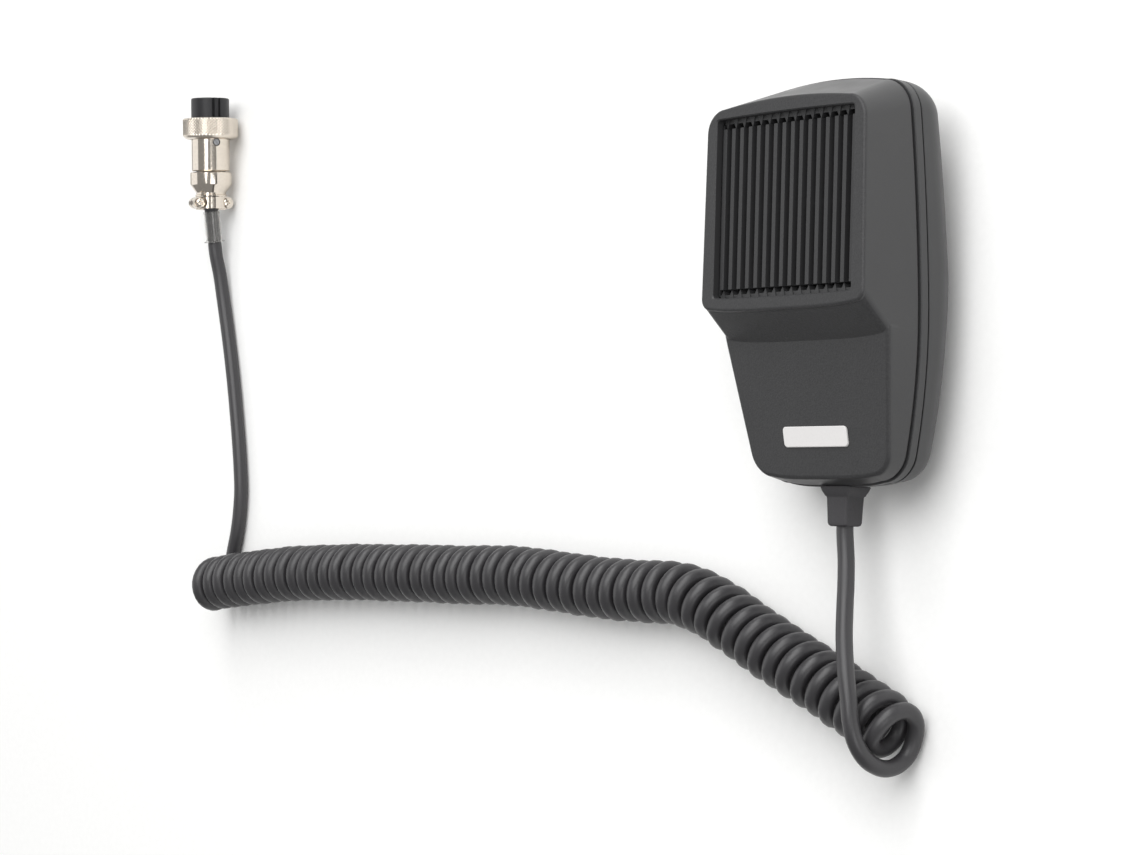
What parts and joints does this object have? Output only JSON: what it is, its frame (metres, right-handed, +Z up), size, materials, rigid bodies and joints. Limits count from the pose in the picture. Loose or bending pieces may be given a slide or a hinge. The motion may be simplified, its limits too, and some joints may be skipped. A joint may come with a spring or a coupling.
{
  "type": "hand microphone with curly cord",
  "caption": "Handheld radio microphone with a slatted front grille, a talk bar on its side, a curly cord and a round screw-on plug.",
  "frame": {"origin": "on the floor under the middle of the microphone's case, which lies on its back; the cord and plug are left out of the middle", "axes": "+Y towards the case's top end, +X to the right seen from the front, +Z up out of the grille; the cord leaves along -Y"},
  "size_m": [0.3372, 0.1998, 0.0381],
  "materials": {
    "shell": "fine sand-blast texture, moulded",
    "insert": "smooth moulded",
    "cloth": "woven dust cloth",
    "badge": "plain white label plate",
    "cord_jacket": "satin extruded jacket",
    "soft_rubber": "matt moulded rubber",
    "nickel": "bright nickel plating",
    "steel": "zinc-plated",
    "contact_brass": "turned",
    "bakelite": "moulded insulator",
    "clear_vinyl": "clear soft tubing",
    "wire_red": "thin insulation",
    "wire_white": "thin insulation",
    "wire_yellow": "thin insulation"
  },
  "bodies": {
    "case": {"front_shell": "shell", "rear_shell": "shell", "grille_insert": "insert", "grille_cloth": "cloth", "badge_plate": "badge", "mic_cartridge": "steel", "cartridge_boot": "soft_rubber", "ptt_pivot_pin": "steel", "switch_body": "bakelite", "switch_screw_1": "steel", "switch_screw_2": "steel", "case_screw_1": "steel", "case_screw_2": "steel", "case_screw_3": "steel", "case_screw_4": "steel", "hang_button": "nickel", "hang_button_screw": "steel", "strain_relief": "soft_rubber", "cord_tail": "cord_jacket", "cord_clamp": "steel", "cord_clamp_screw_1": "steel", "cord_clamp_screw_2": "steel", "inner_wire_red": "wire_red", "inner_wire_white": "wire_white", "inner_wire_yellow": "wire_yellow", "mic_lead": "cord_jacket", "cord_coil": "cord_jacket", "plug_insert": "bakelite", "plug_contact_1": "contact_brass", "plug_contact_2": "contact_brass", "plug_contact_3": "contact_brass", "plug_contact_4": "contact_brass", "plug_barrel": "nickel", "plug_set_screw": "steel", "plug_rear_shell": "nickel", "plug_clamp_saddle": "nickel", "plug_clamp_screw_1": "nickel", "plug_clamp_screw_2": "nickel", "cord_sleeve": "clear_vinyl", "plug_lead": "cord_jacket"},
    "talk_bar": {"ptt_bar": "insert"},
    "plunger": {"switch_plunger": "wire_white"},
    "coupling_nut": {"plug_coupling_nut": "nickel"}
  },
  "joints": [
    {"name": "talk_bar_press", "type": "hinge", "parent": "case", "child": "talk_bar", "pos_m": [-0.0202, 0.04186, 0.02711], "axis": [0, 0, 1], "range_deg": [0, 2.8], "stiffness_Nm_per_rad": 1, "springref_deg": -2.86},
    {"name": "plunger_travel", "type": "slide", "parent": "case", "child": "plunger", "axis": [1, 0, 0], "range_m": [0, 0.0022]},
    {"name": "coupling_nut_spin", "type": "hinge", "parent": "case", "child": "coupling_nut", "pos_m": [-0.29668, 0.0658, 0.00913], "axis": [-0.0383, -0.9963, -0.0767], "continuous": true}
  ],
  "couplings": [
    {"joint": "plunger_travel", "follows": "talk_bar_press", "m_per_rad": 0.0391}
  ]
}
